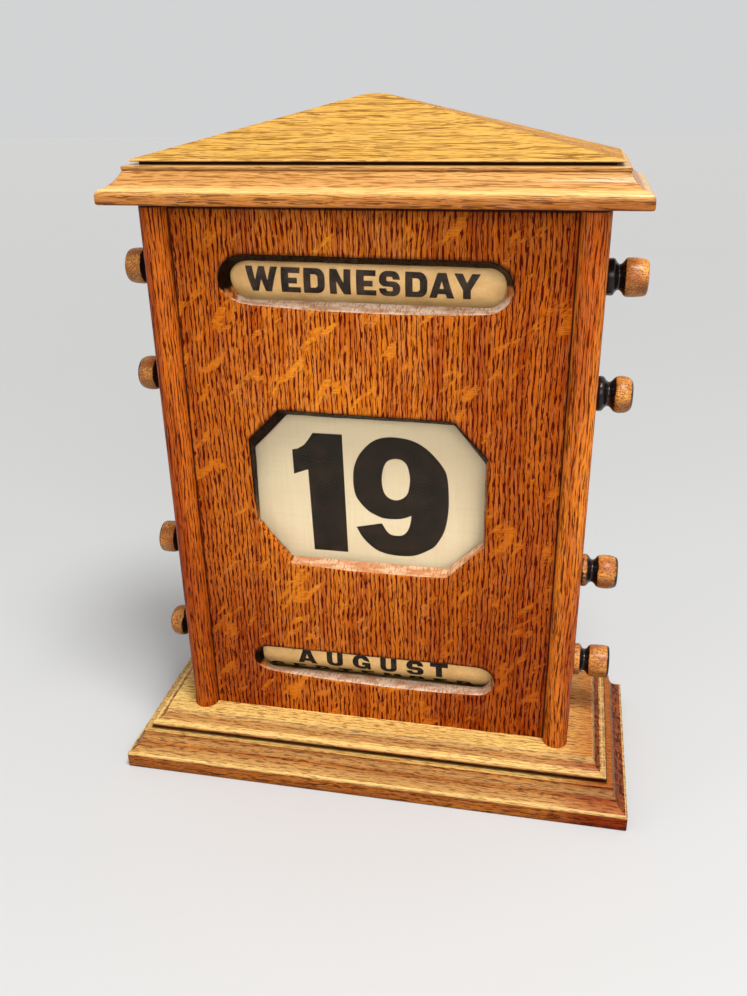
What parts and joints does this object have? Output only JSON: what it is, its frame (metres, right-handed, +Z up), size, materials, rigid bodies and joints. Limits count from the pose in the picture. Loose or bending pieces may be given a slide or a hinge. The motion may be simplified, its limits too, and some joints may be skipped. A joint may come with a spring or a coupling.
{
  "type": "perpetual desk calendar",
  "caption": "Free-standing perpetual desk calendar in moulded oak, with knobs that turn a weekday drum, a month drum and a linen date scroll behind glazed openings.",
  "frame": {"origin": "centre of the base's underside", "axes": "+Z up, -Y out of the glazed front, +X to the right as seen from the front, along the shafts"},
  "size_m": [0.249, 0.105, 0.3159],
  "materials": {
    "oak_base": "golden oak under gloss varnish, plain-sawn, grain along the length",
    "oak_case": "orange-brown oak under gloss varnish, grain upright",
    "oak_panel": "quarter-sawn oak with ray flecks under gloss varnish, grain upright",
    "oak_back": "darker oak, thinly varnished, grain upright",
    "oak_cornice": "golden oak under gloss varnish, grain along the length",
    "oak_roof": "golden oak under gloss varnish, grain along the length",
    "bare_wood": "bare planed wood",
    "dark_oak": "turned oak, burnished and darkened by handling",
    "window_glass": "clear sheet glass, slightly cloudy",
    "label_paper": "aged printed paper, matt",
    "linen": "fine plain-woven linen, off-white",
    "brass_screw": "aged brass",
    "steel_screw": "plain steel"
  },
  "bodies": {
    "case": {"base_plinth": "oak_base", "base_upper_board": "oak_base", "side_board_left": "oak_case", "side_board_right": "oak_case", "front_panel": "oak_panel", "back_panel": "oak_back", "cornice_board": "oak_cornice", "roof_cap": "oak_roof", "day_glass": "window_glass", "date_glass": "window_glass", "month_glass": "window_glass", "day_glass_strips": "bare_wood", "date_glass_strips": "bare_wood", "month_glass_strips": "bare_wood", "glue_blocks": "bare_wood", "base_screws": "steel_screw", "cornice_screws": "steel_screw", "back_panel_screws": "brass_screw", "date_band": "linen"},
    "day_shaft": {"day_spindle": "bare_wood", "day_drum": "bare_wood", "day_label": "label_paper", "day_knob_left": "dark_oak", "day_knob_right": "dark_oak"},
    "date_upper_shaft": {"date_upper_spindle": "bare_wood", "date_upper_roller": "bare_wood", "date_upper_coil": "linen", "date_upper_knob_left": "dark_oak", "date_upper_knob_right": "dark_oak"},
    "date_lower_shaft": {"date_lower_spindle": "bare_wood", "date_lower_roller": "bare_wood", "date_lower_coil": "linen", "date_lower_knob_left": "dark_oak", "date_lower_knob_right": "dark_oak"},
    "month_shaft": {"month_spindle": "bare_wood", "month_drum": "bare_wood", "month_label": "label_paper", "month_knob_left": "dark_oak", "month_knob_right": "dark_oak"}
  },
  "joints": [
    {"name": "day_turn", "type": "hinge", "parent": "case", "child": "day_shaft", "pos_m": [-0.0024, 0.00217, 0.245], "axis": [1, 0, 0], "continuous": true},
    {"name": "date_upper_turn", "type": "hinge", "parent": "case", "child": "date_upper_shaft", "pos_m": [-0.0024, 0.00217, 0.19445], "axis": [1, 0, 0], "range_deg": [-3380, 5460]},
    {"name": "date_lower_turn", "type": "hinge", "parent": "case", "child": "date_lower_shaft", "pos_m": [-0.0024, 0.00217, 0.10655], "axis": [1, 0, 0], "range_deg": [-3380, 5460]},
    {"name": "month_turn", "type": "hinge", "parent": "case", "child": "month_shaft", "pos_m": [-0.0024, 0.00217, 0.056], "axis": [1, 0, 0], "continuous": true}
  ],
  "couplings": [
    {"joint": "date_lower_turn", "follows": "date_upper_turn", "ratio": 1}
  ]
}
